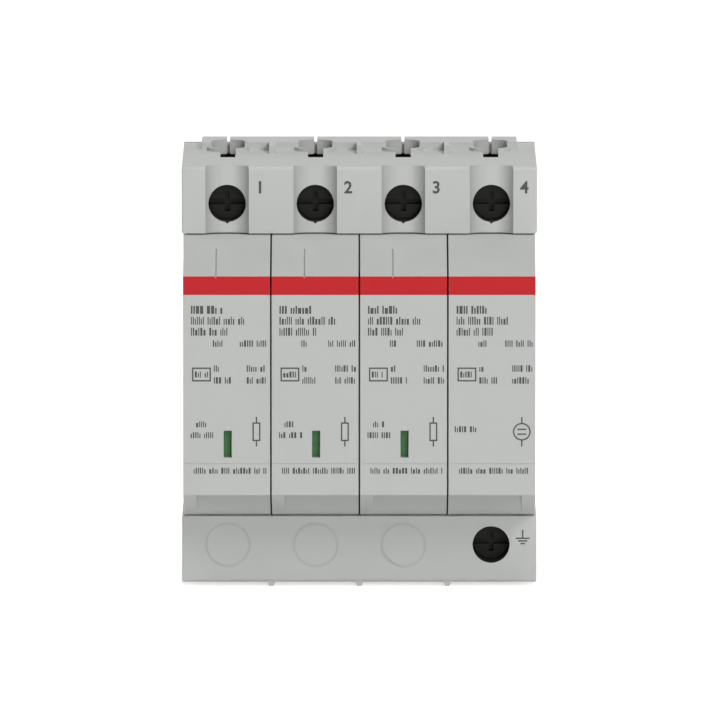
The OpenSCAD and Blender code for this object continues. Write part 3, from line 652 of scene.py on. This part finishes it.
def earth_mark(x, z):
    """Earth symbol beside the earth terminal: a stem over three bars."""
    mesh = bmesh.new()
    half = FINE / 2
    top, first = z + EARTH_H / 2, z
    stem = [(x - half, top), (x - half, first), (x - EARTH_W, first), (x - EARTH_W, first - FINE),
            (x + EARTH_W, first - FINE), (x + EARTH_W, first), (x + half, first), (x + half, top)]
    plate(mesh, stem, TERMINAL_Y)
    for k in range(1, EARTH_BARS):
        low = first - k * EARTH_STEP - FINE
        reach = EARTH_W * (1 - k / EARTH_BARS)
        plate(mesh, rect(x - reach, low, x + reach, low + FINE), TERMINAL_Y)
    piece = link_piece("earth_mark", mesh, ink)
    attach(piece, "base")


for i in CLIPS:
    coil(f"clip_spring_{i}", CLIP_WIRE, CLIP_TURNS)
for i in VARISTOR_POLES:
    coil(f"flag_spring_{i}", FLAG_WIRE, FLAG_TURNS)
for i in POLES:
    cartridge_print(i)
    numeral(f"numeral_{i}", i, SHELL_X[i] + DIGIT_X * MM, DIGIT_Z * MM)
earth_mark(EARTH_X, EARTH_Z)


def seen_strength(tree, glow, seen):
    """Strength of a white surface: a glow on the object, and more where the camera or a gloss sees it."""
    path = tree.nodes.new("ShaderNodeLightPath")
    direct = math_node(tree, "MAXIMUM", path.outputs["Is Camera Ray"], path.outputs["Is Glossy Ray"])
    return spread(tree, direct, glow, seen)


def studio():
    """White floor and soft lights around the object."""
    data = bpy.data.meshes.new("floor")
    corners = [(-1, -1), (1, -1), (1, 1), (-1, 1)]
    places = [(x * FLOOR_HALF, y * FLOOR_HALF, BASE_LOW.z) for x, y in corners]
    data.from_pydata(places, [], [(0, 1, 2, 3)])
    floor = bpy.data.objects.new("floor", data)
    bpy.context.scene.collection.objects.link(floor)
    mat, tree, shader, _ = new_material("floor_white")
    shader.inputs["Base Color"].default_value = (FLOOR_WHITE, FLOOR_WHITE, FLOOR_WHITE, 1)
    shader.inputs["Roughness"].default_value = FLOOR_ROUGH
    shader.inputs["Emission Color"].default_value = (1, 1, 1, 1)
    tree.links.new(seen_strength(tree, FLOOR_GLOW, FLOOR_SEEN), shader.inputs["Emission Strength"])
    dress(floor, mat)

    world = bpy.data.worlds.new("studio")
    bpy.context.scene.world = world
    world.use_nodes = True
    tree = world.node_tree
    back = tree.nodes["Background"]
    back.inputs["Color"].default_value = (1, 1, 1, 1)
    tree.links.new(seen_strength(tree, WORLD_GLOW, WORLD_SEEN), back.inputs["Strength"])

    for name, place, size, power in LAMPS:
        data = bpy.data.lights.new(name, "AREA")
        data.size = size
        data.energy = power
        lamp = bpy.data.objects.new(name, data)
        lamp.location = place
        lamp.rotation_euler = (-Vector(place)).to_track_quat("-Z", "Y").to_euler()
        bpy.context.scene.collection.objects.link(lamp)


def camera():
    """Long lens, a little above the object's middle, as in the photograph."""
    data = bpy.data.cameras.new("camera")
    data.sensor_width = SENSOR / MM
    data.lens = PX_PER_M * VIEW_DISTANCE / IMAGE_PX * SENSOR / MM
    data.clip_end = VIEW_FAR
    obj = bpy.data.objects.new("camera", data)
    back = Vector((0, -math.cos(VIEW_ELEVATION), math.sin(VIEW_ELEVATION)))
    obj.location = VIEW_TARGET + VIEW_DISTANCE * back
    obj.rotation_euler = (-back).to_track_quat("-Z", "Y").to_euler()
    bpy.context.scene.collection.objects.link(obj)
    bpy.context.scene.camera = obj


camera()
studio()
bpy.context.scene.view_settings.view_transform = "Standard"

bpy.context.view_layer.update()
